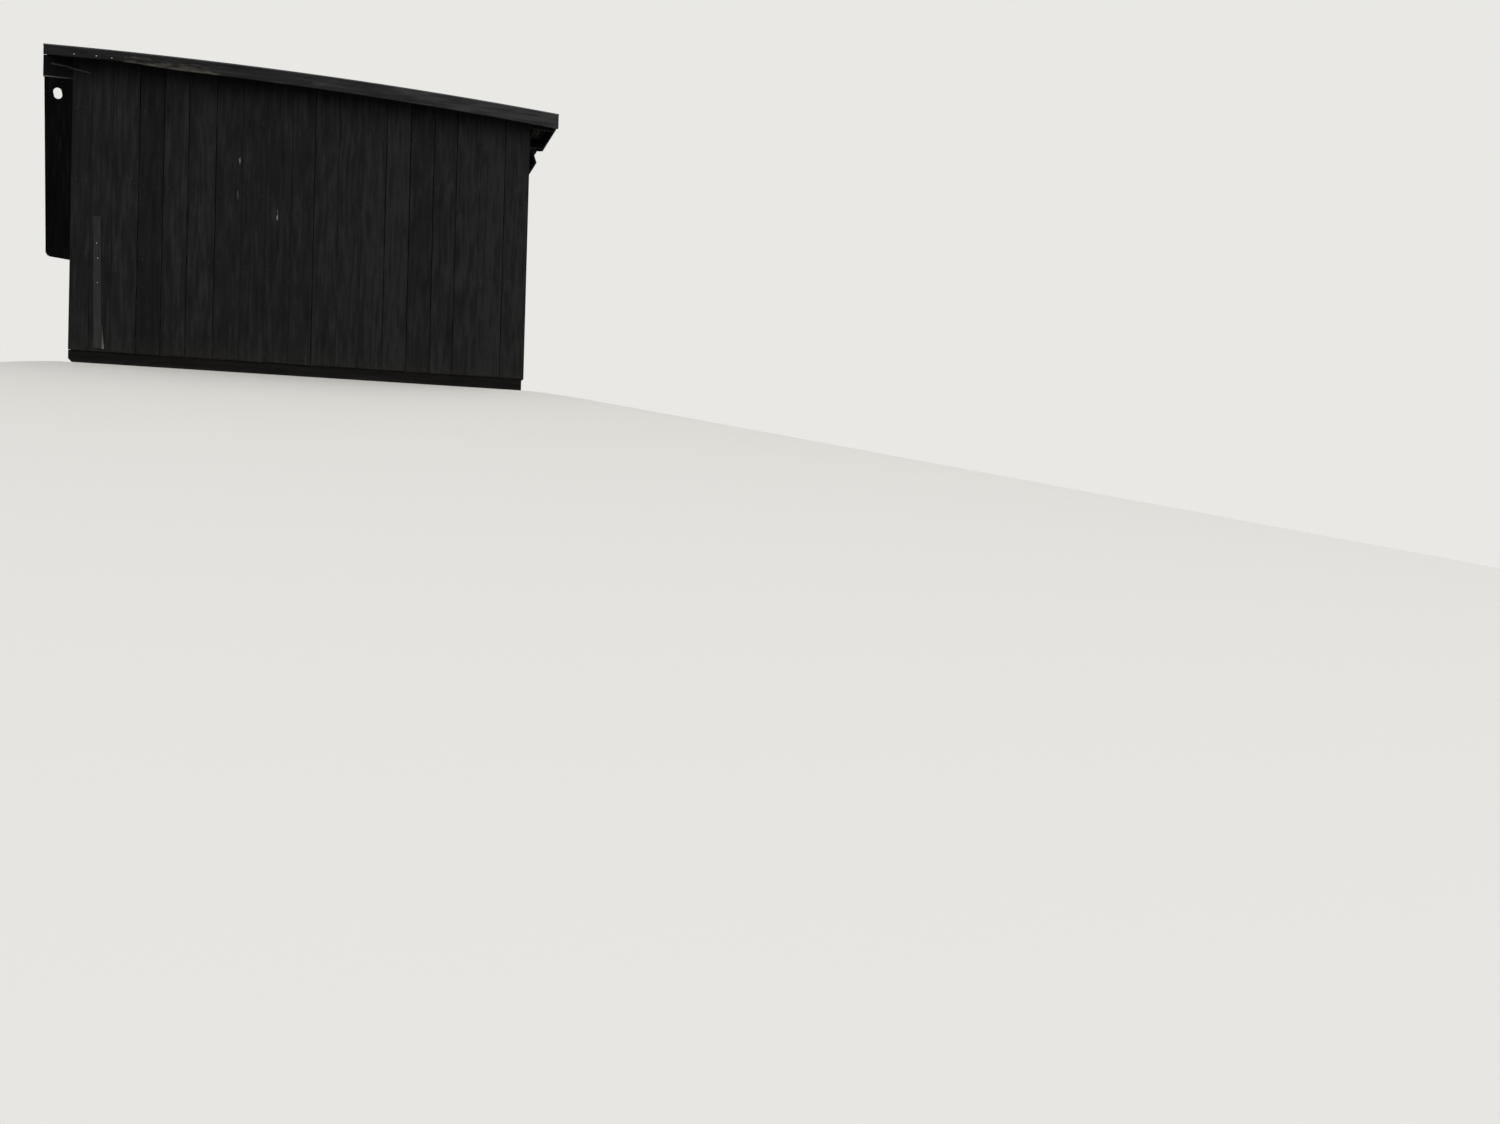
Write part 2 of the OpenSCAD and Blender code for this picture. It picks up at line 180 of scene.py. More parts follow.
def faded_paint(tree, axis, turn, tones):
    """Colour of thin black barn paint, faded in streaks along the grain, with a tone of its
    own on each board."""
    streaks = add(tree, "TexNoise", {"Vector": grain_space(tree, axis, 30 * MM, 420 * MM, turn),
                                     "Scale": 1.0, "Detail": 4.0, "Roughness": 0.6})
    patches = add(tree, "TexNoise", {"Vector": grain_space(tree, axis, 80 * MM, 330 * MM, turn),
                                     "Scale": 1.0, "Detail": 3.0})
    both = add(tree, "Math", (patches, 0.6, streaks), operation="MULTIPLY_ADD")
    tone = add(tree, "Attribute", out="Fac", attribute_name="tone")
    fade = add(tree, "Math", (tone, PAINT_STEP, both), operation="MULTIPLY_ADD")
    return add(tree, "ValToRGB", (fade,), stops=tuple(zip((0.5, 0.8, 1.1), tones)))


def bare_wood(tree, axis, turn, tones):
    """Colour of bare weathered wood: grain, a few knots, and dirt thrown up from the ground."""
    grain = add(tree, "TexNoise", {"Vector": grain_space(tree, axis, 16 * MM, 500 * MM, turn),
                                   "Scale": 1.0, "Detail": 5.0, "Roughness": 0.62, "Distortion": 0.4})
    tone = add(tree, "Attribute", out="Fac", attribute_name="tone")
    shade = add(tree, "Math", (tone, WOOD_STEP, grain), operation="MULTIPLY_ADD")
    wood = add(tree, "ValToRGB", (shade,), stops=tuple(zip((0.3, 0.5, 0.7), tones)))
    knots = add(tree, "TexVoronoi", {"Vector": grain_space(tree, axis, 210 * MM, 620 * MM, turn),
                                     "Scale": 1.0})
    knot = add(tree, "MapRange", (knots, 0.07, 0.13, 0.75, 0.0))
    knotted = add(tree, "Mix", {0: knot, 6: wood, 7: "3b2c20"}, out=2, data_type="RGBA")
    height = add(tree, "SeparateXYZ", (add(tree, "TexCoord", out="Object"),), out=Z)
    # The dirt thins out from 0.1 m to 0.7 m above the ground
    soiling = add(tree, "MapRange", (height, 0.1, 0.7, 0.55, 0.0))
    return add(tree, "Mix", {0: soiling, 6: knotted, 7: "4a4034"}, out=2, data_type="RGBA")


def outside(tree, margin):
    """1 on what stands outside the walls' faces, 0 inside, with a brushed edge between. What
    stands less than margin behind the walls' front edge counts as outside."""
    place = add(tree, "TexCoord", out="Object")
    axes = add(tree, "SeparateXYZ", (place,)).node
    front = add(tree, "Math", (FRONT + margin, axes.outputs[X]), operation="SUBTRACT")
    rear = add(tree, "Math", (axes.outputs[X], REAR), operation="SUBTRACT")
    side = add(tree, "Math", (axes.outputs[Y],), operation="ABSOLUTE")
    flank = add(tree, "Math", (side, SIDE), operation="SUBTRACT")
    ends = add(tree, "Math", (front, rear), operation="MAXIMUM")
    reach = add(tree, "Math", (ends, flank), operation="MAXIMUM")
    brush = add(tree, "TexNoise", {"Vector": grain_space(tree, Z, 40 * MM, 40 * MM), "Scale": 1.0,
                                   "Detail": 2.0})
    # The paint's edge is 8 mm wide, and the brush has moved it by a few millimetres
    edge = add(tree, "Math", (brush, 20 * MM, reach), operation="MULTIPLY_ADD")
    return add(tree, "MapRange", (edge, 6 * MM, 14 * MM))


def uneven_gloss(tree, shader, axis, turn, low, high):
    """Roughness that differs softly from place to place along the grain."""
    film = add(tree, "TexNoise", {"Vector": grain_space(tree, axis, 60 * MM, 400 * MM, turn),
                                  "Scale": 1.0})
    gloss = add(tree, "MapRange", (film, 0.3, 0.7, low, high))
    tree.links.new(gloss, shader.inputs["Roughness"])


def barn_paint(name, axis=Z, turn=0.0, tones=("121212", "1a1a1a", "242424"), worn=None, sheen=0.07):
    """Barn paint: a thin black asphalt paint brushed on rough-sawn boards. It dries nearly
    matt and fades to grey along the raised grain."""
    material, tree, shader = new_material(name)
    colour = faded_paint(tree, axis, turn, tones)
    if worn:
        colour = worn(tree, colour)
    tree.links.new(colour, shader.inputs["Base Color"])
    uneven_gloss(tree, shader, axis, turn, 0.65, 0.88)
    shader.inputs["Specular IOR Level"].default_value = sheen
    rough_sawn(tree, shader, axis, turn)
    return material


# Spots where the paint has flaked off the near wall, as distance from the wall's front edge,
# height above the boards' feet, half height, and share of the bare wood that shows. Then
# their half width, how deep they reach into the wall, and how ragged their rims are.
CHIPS = ((1.716, 2.209, 36 * MM, 0.5), (1.702, 1.826, 55 * MM, 0.16),
         (2.122, 1.616, 32 * MM, 0.6), (2.124, 1.665, 60 * MM, 0.15))
CHIP_WIDE = 9 * MM
CHIP_DEEP = 50 * MM
CHIP_RAGGED = 1.6


def weathered_wall(tree, colour):
    """Pale chips of bare grey wood, and soil splashed up on the boards' feet."""
    place = add(tree, "TexCoord", out="Object")
    flakes = add(tree, "TexNoise", {"Vector": grain_space(tree, Z, 10 * MM, 30 * MM), "Scale": 1.0,
                                    "Detail": 3.0})
    ragged = add(tree, "Math", (flakes, 0.5), operation="SUBTRACT")
    for along, up, high, share in CHIPS:
        centre = (FRONT + along, -SIDE, BOARD_FOOT + up)
        offset = add(tree, "VectorMath", (place, centre), operation="SUBTRACT")
        shape = (1 / CHIP_WIDE, 1 / CHIP_DEEP, 1 / high)
        scaled = add(tree, "VectorMath", (offset, shape), operation="MULTIPLY")
        away = add(tree, "VectorMath", (scaled,), out="Value", operation="LENGTH")
        rim = add(tree, "Math", (ragged, CHIP_RAGGED, away), operation="MULTIPLY_ADD")
        bare = add(tree, "MapRange", (rim, 0.75, 1.0, share, 0.0))
        colour = add(tree, "Mix", {0: bare, 6: colour, 7: "8d8b86"}, out=2, data_type="RGBA")
    height = add(tree, "SeparateXYZ", (place,), out=Z)
    drops = add(tree, "TexNoise", {"Vector": grain_space(tree, Z, 45 * MM, 90 * MM), "Scale": 1.0,
                                   "Detail": 3.0})
    # The soil thins out from about 0.13 m to 0.33 m above the ground
    reach = add(tree, "Math", (drops, 0.35, height), operation="MULTIPLY_ADD")
    soil = add(tree, "MapRange", (reach, 0.3, 0.5, 0.3, 0.0))
    return add(tree, "Mix", {0: soil, 6: colour, 7: "2b2926"}, out=2, data_type="RGBA")


# Where the lower edge of the barges has lost its paint, as distance from the wall's front
# edge, and the length over which that runs out at its rear end
WORN_FROM = 0.1
WORN_MOST = 0.75
WORN_TO = 1.65
WORN_FADE = 0.25


def worn_barge(tree, colour):
    """Brown-grey wood where the paint has worn off the lower edge of the barge."""
    along = add(tree, "SeparateXYZ", (add(tree, "TexCoord", out="Object"),), out=X)
    rising = add(tree, "MapRange", (along, FRONT + WORN_FROM, FRONT + WORN_MOST))
    falling = add(tree, "MapRange", (along, FRONT + WORN_TO - WORN_FADE, FRONT + WORN_TO, 1.0, 0.0))
    stretch = add(tree, "Math", (rising, falling), operation="MINIMUM")
    wear = add(tree, "Attribute", out="Fac", attribute_name="wear")
    amount = add(tree, "Math", (stretch, wear), operation="MULTIPLY")
    spots = add(tree, "TexNoise", {"Vector": grain_space(tree, X, 36 * MM, 120 * MM), "Scale": 1.0,
                                   "Detail": 4.0, "Roughness": 0.65})
    share = add(tree, "Math", (amount, 0.42, spots), operation="MULTIPLY_ADD")
    bare = add(tree, "MapRange", (share, 0.72, 0.95, 0.0, 0.8))
    return add(tree, "Mix", {0: bare, 6: colour, 7: "504d45"}, out=2, data_type="RGBA")


def foot_highlight(tree, colour):
    """Painted highlight along the lower edge of a wing's head board, drawn in the pale colour of bare
    wood.
    """
    wear = add(tree, "Attribute", out="Fac", attribute_name="wear")
    return add(tree, "Mix", {0: wear, 6: colour, 7: "85827a"}, out=2, data_type="RGBA")


# Distance behind the walls' front edge up to which the frame was painted with them
PAINTED_BEHIND = 55 * MM


def frame_timber(name, axis, turn=0.0):
    """Frame timber: rough-sawn oak, never treated, gone grey-brown indoors. What stands
    outside the walls was brushed black with them."""
    material, tree, shader = new_material(name)
    wood = bare_wood(tree, axis, turn, ("5f5244", "7d6d5a", "95866f"))
    paint = faded_paint(tree, axis, turn, ("090909", "0e0e0e", "161615"))
    painted = outside(tree, PAINTED_BEHIND)
    colour = add(tree, "Mix", {0: painted, 6: wood, 7: paint}, out=2, data_type="RGBA")
    tree.links.new(colour, shader.inputs["Base Color"])
    uneven_gloss(tree, shader, axis, turn, 0.7, 0.9)
    shader.inputs["Specular IOR Level"].default_value = 0.1
    rough_sawn(tree, shader, axis, turn, 1.0 * MM)
    return material


def creosoted(name, axis):
    """Bottom timber: creosoted softwood, dark brown to black and soiled where it meets the
    ground."""
    material, tree, shader = new_material(name)
    grain = add(tree, "TexNoise", {"Vector": grain_space(tree, axis, 18 * MM, 500 * MM), "Scale": 1.0,
                                   "Detail": 5.0, "Roughness": 0.6, "Distortion": 0.3})
    stops = ((0.3, "080807"), (0.55, "0e0d0c"), (0.75, "181614"))
    wood = add(tree, "ValToRGB", (grain,), stops=stops)
    height = add(tree, "SeparateXYZ", (add(tree, "TexCoord", out="Object"),), out=Z)
    lumps = add(tree, "TexNoise", {"Vector": grain_space(tree, axis, 60 * MM, 140 * MM), "Scale": 1.0})
    # The soil thins out from the ground to about 50 mm above it
    splash = add(tree, "Math", (lumps, 0.08, height), operation="MULTIPLY_ADD")
    soil = add(tree, "MapRange", (splash, 0.04, 0.09, 0.45, 0.0))
    colour = add(tree, "Mix", {0: soil, 6: wood, 7: "25211c"}, out=2, data_type="RGBA")
    tree.links.new(colour, shader.inputs["Base Color"])
    uneven_gloss(tree, shader, axis, 0.0, 0.7, 0.9)
    shader.inputs["Specular IOR Level"].default_value = 0.1
    rough_sawn(tree, shader, axis, 0.0, 1.5 * MM)
    return material


def enamelled_steel():
    """Roof steel: coil-coated sheet in black baked enamel, smooth but dulled by years
    outdoors, with a film of dust that the rain has drawn down the slope."""
    material, tree, shader = new_material("black_enamelled_steel")
    dust = add(tree, "TexNoise", {"Vector": grain_space(tree, X, 60 * MM, 1500 * MM), "Scale": 1.0,
                                  "Detail": 4.0, "Roughness": 0.6})
    blotches = add(tree, "TexNoise", {"Vector": grain_space(tree, X, 500 * MM, 800 * MM), "Scale": 1.0})
    film = add(tree, "Math", (dust, blotches), operation="MULTIPLY")
    stops = ((0.12, "161718"), (0.26, "1e1f20"), (0.45, "2f2f2c"))
    colour = add(tree, "ValToRGB", (film,), stops=stops)
    tree.links.new(colour, shader.inputs["Base Color"])
    gloss = add(tree, "MapRange", (film, 0.12, 0.4, 0.38, 0.62))
    tree.links.new(gloss, shader.inputs["Roughness"])
    shader.inputs["Specular IOR Level"].default_value = 0.4
    ripple = add(tree, "TexNoise", {"Vector": grain_space(tree, X, 180 * MM, 420 * MM), "Scale": 1.0,
                                    "Detail": 1.0})
    bumps = add(tree, "Bump", {"Height": ripple, "Distance": 1.5 * MM})
    tree.links.new(bumps, shader.inputs["Normal"])
    return material


def primer_and_painted_shade():
    """Underside of the roof steel: a thin wash of dark grey primer, matt and dusty. The dark grey is
    painted shade under the roof.
    """
    material, tree, shader = new_material("primer_and_painted_shade_back")
    dust = add(tree, "TexNoise", {"Vector": grain_space(tree, X, 90 * MM, 700 * MM), "Scale": 1.0,
                                  "Detail": 4.0})
    # Dark grey tones that paint the shade under the roof
    stops = ((0.3, "1b1c1d"), (0.55, "232425"), (0.75, "2d2d2c"))
    colour = add(tree, "ValToRGB", (dust,), stops=stops)
    tree.links.new(colour, shader.inputs["Base Color"])
    shader.inputs["Roughness"].default_value = 0.85
    shader.inputs["Specular IOR Level"].default_value = 0.1
    return material


def fixing(name, code, metallic, roughness):
    """Surface of a screw, washer or nail, with spots of rust or dirt."""
    material, tree, shader = new_material(name)
    spots = add(tree, "TexNoise", {"Vector": grain_space(tree, Z, 5 * MM, 5 * MM), "Scale": 1.0})
    rust = add(tree, "MapRange", (spots, 0.45, 0.7, 0.0, 0.7))
    colour = add(tree, "Mix", {0: rust, 6: code, 7: "3a2a1e"}, out=2, data_type="RGBA")
    tree.links.new(colour, shader.inputs["Base Color"])
    shader.inputs["Metallic"].default_value = metallic
    shader.inputs["Roughness"].default_value = roughness
    return material


def bare_lath(name, axis, tones):
    """Bare lath: thin sawn softwood that has lost its paint and weathered to a dull grey."""
    material, tree, shader = new_material(name)
    grain = add(tree, "TexNoise", {"Vector": grain_space(tree, axis, 9 * MM, 240 * MM), "Scale": 1.0,
                                   "Detail": 5.0, "Roughness": 0.65})
    wood = add(tree, "ValToRGB", (grain,), stops=tuple(zip((0.3, 0.52, 0.72), tones)))
    wear = add(tree, "Attribute", out="Fac", attribute_name="wear")
    colour = add(tree, "Mix", {0: wear, 6: wood, 7: "8f8b82"}, out=2, data_type="RGBA")
    tree.links.new(colour, shader.inputs["Base Color"])
    uneven_gloss(tree, shader, axis, 0.0, 0.75, 0.92)
    shader.inputs["Specular IOR Level"].default_value = 0.12
    rough_sawn(tree, shader, axis, 0.0, 1.0 * MM)
    return material


PAINT_WALL = barn_paint("barn_paint_walls", worn=weathered_wall)
PAINT_BARGE = barn_paint("barn_paint_barge", X, tones=("191919", "262626", "363636"), worn=worn_barge)
PAINT_FASCIA = barn_paint("barn_paint_fascia", Y)
# The wing's paint carries a painted highlight along the head board's foot
PAINT_WING = barn_paint("barn_paint_wing", tones=("050505", "070708", "101011"), worn=foot_highlight,
                        sheen=0.02)
TIMBER = [frame_timber("oak_along_" + name, axis) for axis, name in enumerate(("x", "y", "z"))]
BRACE_TIMBER = [frame_timber("oak_brace_" + name, Z, turn)
                for name, turn in (("rising", math.radians(45)), ("falling", math.radians(-45)))]
CREOSOTED = [creosoted("creosoted_along_x", X), creosoted("creosoted_along_y", Y)]
ENAMEL = enamelled_steel()
PRIMER_AND_SHADE = primer_and_painted_shade()
PAINTED_NAIL = fixing("painted_nail", "161514", 0.0, 0.6)
BRIGHT_NAIL = fixing("galvanised_nail", "a6a7a6", 1.0, 0.45)
SCREW = fixing("zinc_screw", "5d5f61", 1.0, 0.5)
WASHER = fixing("rubber_washer", "0c0c0c", 0.0, 0.7)
STRIP_LATH = bare_lath("bare_lath_strip", Z, ("1c1c1b", "282827", "363635"))
TIE_LATH = bare_lath("bare_lath_tie", X, ("282726", "383735", "4a4946"))


def solid(node):
    """A CAD node's shape with its corners merged and each flat face whole."""
    bm = bmesh.new()
    bm.from_mesh(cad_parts[node].data)
    bmesh.ops.remove_doubles(bm, verts=bm.verts, dist=MERGE)
    bmesh.ops.dissolve_limit(bm, angle_limit=FLAT, verts=bm.verts, edges=bm.edges)
    return bm


def islands(bm):
    """The separate solids of a mesh, each as a list of its corners."""
    left = set(bm.verts)
    found = []
    while left:
        front = [left.pop()]
        group = []
        while front:
            vert = front.pop()
            group.append(vert)
            for other in [edge.other_vert(vert) for edge in vert.link_edges]:
                if other in left:
                    left.remove(other)
                    front.append(other)
        found.append(group)
    found.sort(key=lambda group: tuple(round(c, 3) for c in min(tuple(v.co) for v in group)))
    return found


def layer(bm, name):
    """A value on every corner of a mesh, which the materials read by its name."""
    return bm.verts.layers.float.get(name) or bm.verts.layers.float.new(name)


def mark(bm, rng, tone=None):
    """Gives every solid its own tone and its own part of the grain pattern."""
    seeds, tones = layer(bm, "seed"), layer(bm, "tone")
    for group in islands(bm):
        seed = rng.uniform(-40, 40)
        shade = rng.uniform(-1, 1) if tone is None else tone
        for vert in group:
            vert[seeds] = seed
            vert[tones] = shade


def ease(bm, width, segments=2):
    """Rounds the sharp edges."""
    edges = [e for e in bm.edges if e.is_manifold and e.calc_face_angle() > SHARP]
    bmesh.ops.bevel(bm, geom=edges, offset=width, offset_type="OFFSET", segments=segments,
                    profile=0.5, affect="EDGES", clamp_overlap=True, material=-1)


def piece(name, bm, materials, slot, *nodes):
    """A finished piece that rides on the building, in place of the given CAD nodes."""
    mesh = bpy.data.meshes.new(name)
    bm.to_mesh(mesh)
    bm.free()
    for material in materials:
        mesh.materials.append(material)
    obj = bpy.data.objects.new(name, mesh)
    bpy.context.scene.collection.objects.link(obj)
    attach(obj, "root")
    if nodes:
        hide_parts(*nodes)
    return obj


def joined(parts):
    """One mesh that holds all the given ones, with every face turned outward."""
    whole = bmesh.new()
    scratch = bpy.data.meshes.new("scratch")
    for part in parts:
        part.to_mesh(scratch)
        part.free()
        whole.from_mesh(scratch)
    bpy.data.meshes.remove(scratch)
    bmesh.ops.recalc_face_normals(whole, faces=whole.faces)
    return whole


def cut(bm, axis, place, side):
    """Cuts everything off beyond place on the given side (-1 or 1) and closes the cut."""
    normal = Vector((0, 0, 0))
    normal[axis] = side
    made = bmesh.ops.bisect_plane(bm, geom=bm.verts[:] + bm.edges[:] + bm.faces[:], dist=MERGE,
                                  plane_co=normal * place * side, plane_no=normal, clear_outer=True)
    rim = [e for e in made["geom_cut"] if isinstance(e, bmesh.types.BMEdge) and e.is_boundary]
    bmesh.ops.holes_fill(bm, edges=rim)


def rings(bm, axis, places):
    """Adds a ring of corners at each place along axis, so that the piece can bend."""
    normal = Vector((0, 0, 0))
    normal[axis] = 1
    for place in places:
        bmesh.ops.bisect_plane(bm, geom=bm.verts[:] + bm.edges[:] + bm.faces[:], dist=MERGE,
                               plane_co=normal * place, plane_no=normal)


def spaced(low, high, step):
    """Places about every step between low and high, without the ends."""
    count = max(1, round((high - low) / step))
    return [low + (high - low) * i / count for i in range(1, count)]


def joint_side(joint, z, side, depth):
    """Place of one side of the joint between two boards at height z. Both boards follow the
    saw's wander together. The joint narrows from the outer face, where depth is 1, to the
    inner one, where it is 0, and it is wider at some heights than at others."""
    place, gap, phase = joint
    if gap == 0:
        return place
    wander = WANDER * noise.noise(Vector((phase, z * 1.1, 0)))
    change = GAP_CHANGE * noise.noise(Vector((phase, z * 0.9, 9)))
    width = BACK_GAP + gap * (1 + change) * depth
    return place + wander + side * width / 2


def sawn_board(slab, axis, joints, out, outward, rng, lift):
    """One board of a wall between two joints: cut from the slab, cupped, with a foot that is
    off square and worn arrises."""
    low, high = [joint[0] for joint in joints]
    bm = slab.copy()
    cut(bm, axis, low, -1)
    cut(bm, axis, high, 1)
    heights = [v.co.z for v in bm.verts]
    depths = [v.co[out] * outward for v in bm.verts]
    foot, inner, thick = min(heights), min(depths), max(depths) - min(depths)
    rings(bm, Z, spaced(foot, max(heights), BOARD_RINGS))
    rings(bm, axis, [(low + high) / 2])
    cup = rng.uniform(-CUP, CUP)
    drop = rng.uniform(-UNEVEN_FOOT, UNEVEN_FOOT)
    slant = rng.uniform(-SLANT_FOOT, SLANT_FOOT)
    for vert in bm.verts:
        share = (vert.co[axis] - low) / (high - low)
        depth = (vert.co[out] * outward - inner) / thick
        sides = [joint_side(joint, vert.co.z, side, depth) for joint, side in zip(joints, (1, -1))]
        vert.co[axis] = sides[0] + (sides[1] - sides[0]) * share
        vert.co[out] += outward * (cup * (1 - (2 * share - 1) ** 2) + lift)
        if vert.co.z < foot + MERGE:
            vert.co.z += drop + slant * (2 * share - 1)
    ease(bm, BOARD_ARRIS)
    return bm


def board_edges(low, high, rng, widths=None):
    """Places of the joints between boards from low to high."""
    if widths is None:
        count = round((high - low) / BOARD_WIDTH)
        widths = [BOARD_WIDTH + rng.uniform(-BOARD_SPREAD, BOARD_SPREAD) for _ in range(count)]
    scale = (high - low) / sum(widths)
    edges = [low]
    for width in widths:
        edges.append(edges[-1] + width * scale)
    return edges


def boarded_wall(node, axis, outward, seed, widths=None, open_joints=None, proud=None, faded=(),
                 black=()):
    """A wall of single boards in place of its slab, painted outside and bare inside. Returns
    the places of its joints."""
    rng = random.Random(seed)
    slab = solid(node)
    low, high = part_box(node)
    out = Y if axis == X else X
    edges = board_edges(low[axis], high[axis], rng, widths)
    if open_joints is None:
        open_joints = {j for j in range(1, len(edges) - 1) if rng.random() < OPEN_SHARE}
    joints = [(edge, OPEN_GAP if j in open_joints else TIGHT_GAP, rng.uniform(-50, 50))
              for j, edge in enumerate(edges)]
    joints[0] = (edges[0], 0, 0)
    joints[-1] = (edges[-1], 0, 0)
    spread = NEAR_SPREAD if widths else USUAL_SPREAD
    boards = []
    for i, pair in enumerate(zip(joints, joints[1:])):
        lift = PROUD if i == proud else rng.uniform(-UNEVEN_FACE, UNEVEN_FACE)
        board = sawn_board(slab, axis, pair, out, outward, rng, lift)
        tone = rng.uniform(-spread, spread) + FADED_TONE * (i in faded) - BLACK_TONE * (i in black)
        mark(board, rng, tone)
        boards.append(board)
    slab.free()
    wall = joined(boards)
    for face in wall.faces:
        face.material_index = 1 if face.normal[out] * outward < -0.5 else 0
    piece(node + "_boards", wall, [PAINT_WALL, TIMBER[Z]], "black_boards", node)
    return edges


def timber(node, materials, slot="frame_timber", arris=TIMBER_ARRIS):
    """A frame timber with eased edges in place of its CAD node."""
    bm = solid(node)
    mark(bm, random.Random(node))
    ease(bm, arris)
    return piece(node + "_timber", bm, materials, slot, node)


near_edges = boarded_wall("siding_near", X, -1, 11, [w * MM for w in NEAR_WIDTHS], OPEN_JOINTS,
                          PROUD_BOARD, FADED_BOARDS, BLACK_BOARDS)
far_edges = boarded_wall("siding_far", X, 1, 12)
rear_edges = boarded_wall("siding_rear", Y, 1, 13)
front_edges = boarded_wall("siding_front", Y, -1, 14)

for node in ("skid_near", "skid_far"):
    timber(node, [CREOSOTED[X]], "bottom_timber")
timber("skid_rear", [CREOSOTED[Y]], "bottom_timber")
for row in ("post_front", "post_rear"):
    for place in ("_near", "_mid", "_far"):
        timber(row + place, [TIMBER[Z]])
for node in ("post_side_near", "post_side_far"):
    timber(node, [TIMBER[Z]])
for node in ("girts_near", "girts_far", "rafter_near", "rafter_far", "rafters_inner"):
    timber(node, [TIMBER[X]])
for node in ("girts_rear", "header_front", "plate_rear", "purlins"):
    timber(node, [TIMBER[Y]])


def braces():
    """Knee braces, each with its grain along its own slope."""
    bm = solid("braces_front")
    mark(bm, random.Random(5))
    for group in islands(bm):
        foot = min(group, key=lambda v: v.co.z)
        head = max(group, key=lambda v: v.co.z)
        rising = head.co.y > foot.co.y
        for face in {f for v in group for f in v.link_faces}:
            face.material_index = 0 if rising else 1
    ease(bm, TIMBER_ARRIS)
    return piece("braces_front_timber", bm, BRACE_TIMBER, "frame_timber", "braces_front")


braces()


# Decay of a barge's lower edge: how deep it is eaten all along, how much deeper near the open
# front, how far from the wall's front edge that reaches, and the length over which it eases out
DECAY = 3 * MM
DECAY_FRONT = 8 * MM
DECAY_TO = 1.8
DECAY_EASE = 1.2
# Tone of a barge at its front end and at its rear end
BARGE_FRONT_TONE = -2.3
BARGE_REAR_TONE = 1.7


def barge_board(node, seed):
    """Barge with a decayed lower edge, worst towards the open front."""
    rng = random.Random(seed)
    bm = solid(node)
    low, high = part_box(node)
    rings(bm, X, spaced(low.x, high.x, BARGE_RINGS))
    bm.normal_update()
    wears = layer(bm, "wear")
    for vert in bm.verts:
        lower = any(f.normal.z < -0.5 for f in vert.link_faces)
        vert[wears] = 1.0 if lower else 0.0
        if lower:
            bite = (noise.noise(Vector((vert.co.x * 7, seed, 0)))
                    + 0.6 * noise.noise(Vector((vert.co.x * 29, seed, 5))))
            front = max(0.0, min(1.0, (FRONT + DECAY_TO - vert.co.x) / DECAY_EASE))
            vert.co.z += max(0.0, bite) * (DECAY + DECAY_FRONT * front)
    mark(bm, rng, tone=0.0)
    tones = layer(bm, "tone")
    for vert in bm.verts:
        share = (vert.co.x - low.x) / (high.x - low.x)
        vert[tones] = BARGE_FRONT_TONE + (BARGE_REAR_TONE - BARGE_FRONT_TONE) * share
    ease(bm, BOARD_ARRIS)
    return piece(node + "_board", bm, [PAINT_BARGE], "black_boards", node)


barge_board("barge_near", 21)
barge_board("barge_far", 22)

# How far the broken ends of the fascia are torn along the grain
TORN = 16 * MM


def slants(face):
    """True on a face that runs askew to the fascia's length, which only a broken end does."""
    return 0.05 < abs(face.normal.y) < 0.99


def fascia():
    """Rear fascia in two lengths, with torn ends of bare wood where it broke."""
    bm = solid("fascia_rear")
    box_low, box_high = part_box("fascia_rear")
    torn = [f for f in bm.faces if abs(f.normal.z) > 0.05 and slants(f)]
    edges = {e for f in torn for e in f.edges if abs(e.verts[0].co.z - e.verts[1].co.z) > 0.02}
    bmesh.ops.subdivide_edges(bm, edges=list(edges), cuts=9, use_grid_fill=True)
    for vert in bm.verts:
        if box_low.z + MERGE < vert.co.z < box_high.z - 0.012 and abs(vert.co.y) < box_high.y - 0.05:
            vert.co.y += TORN * noise.noise(Vector((vert.co.x * 60, 3.0, vert.co.z * 90)))
    for face in bm.faces:
        face.material_index = 1 if slants(face) else 0
    mark(bm, random.Random(31))
    ease(bm, BOARD_ARRIS)
    return piece("fascia_rear_boards", bm, [PAINT_FASCIA, TIMBER[Y]], "black_boards",
                 "fascia_rear")


fascia()

# Width of the painted highlight along the foot of a wing's head board, drawn as bare wood, and the share
# by which it fades towards the wall
HIGHLIGHT_WIDTH = 16 * MM
HIGHLIGHT_FADE = 0.9
# Tone of a wing's head board and of the board below it. The head board's pale tone is painted light,
# which lifts the shade under the barge.
HEAD_PAINTED_LIGHT_TONE = 3.2
BODY_TONE = -0.3


